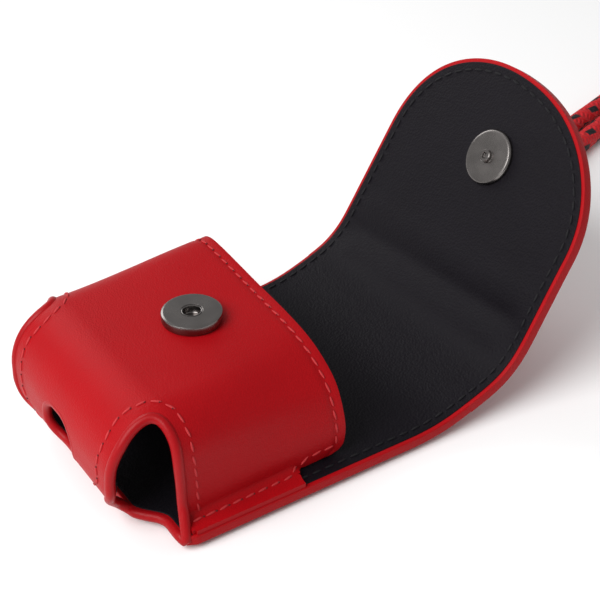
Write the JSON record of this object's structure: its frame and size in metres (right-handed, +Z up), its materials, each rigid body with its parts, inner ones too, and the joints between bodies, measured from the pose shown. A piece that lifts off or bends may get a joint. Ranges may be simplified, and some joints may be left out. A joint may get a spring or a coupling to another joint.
{
  "type": "ever ready camera case",
  "caption": "Lined red leather pocket on a stiffened back whose folding spine and round-ended flap close over it with a magnetic snap, with a braided wrist strap.",
  "frame": {"origin": "on the surface the case lies on, under the middle of its outline without the cord", "axes": "X across the case, +Y from the closed bottom end of the pocket through its mouth to the flap, +Z up from the surface"},
  "size_m": [0.1275, 0.3167, 0.062],
  "materials": {
    "red_leather": "fine-grained, semi-gloss",
    "black_lining": "fine pebbled, semi-matt",
    "stiffener": "plain board",
    "gunmetal": "dark satin",
    "magnet": "plain",
    "strap_metal": "satin",
    "braided_cord": "round braid, red with black flecks"
  },
  "bodies": {
    "case": {"back_panel_leather": "red_leather", "back_panel_board": "stiffener", "back_panel_lining": "black_lining", "pocket_leather": "red_leather", "pocket_lining": "black_lining", "near_corner_binding": "red_leather", "far_corner_binding": "red_leather", "push_hole_binding": "red_leather", "snap_female_cap": "gunmetal", "snap_magnet": "magnet", "snap_female_post": "gunmetal", "snap_female_washer": "gunmetal", "strap_tab": "red_leather", "strap_ferrule": "strap_metal", "ferrule_eye": "strap_metal", "strap_cord": "braided_cord"},
    "flap_top": {"spine_leather": "red_leather", "spine_board": "stiffener", "spine_lining": "black_lining"},
    "flap_front": {"flap_leather": "red_leather", "flap_board": "stiffener", "flap_lining": "black_lining", "snap_male_disc": "gunmetal", "snap_male_stud": "gunmetal", "snap_male_post": "gunmetal"},
    "strap_ring": {"strap_ring": "strap_metal"}
  },
  "joints": [
    {"name": "back_crease", "type": "hinge", "parent": "case", "child": "flap_top", "pos_m": [0, 0.0044, 0.00255], "axis": [1, 0, 0], "range_deg": [0, 69.5]},
    {"name": "front_crease", "type": "hinge", "parent": "flap_top", "child": "flap_front", "pos_m": [0, 0.03578, 0.01428], "axis": [1, 0, 0], "range_deg": [-37.1, 52.9]},
    {"name": "ring_swing", "type": "hinge", "parent": "case", "child": "strap_ring", "pos_m": [0, 0.0156, 0.00195], "axis": [1, 0, 0], "range_deg": [0, 8]}
  ]
}
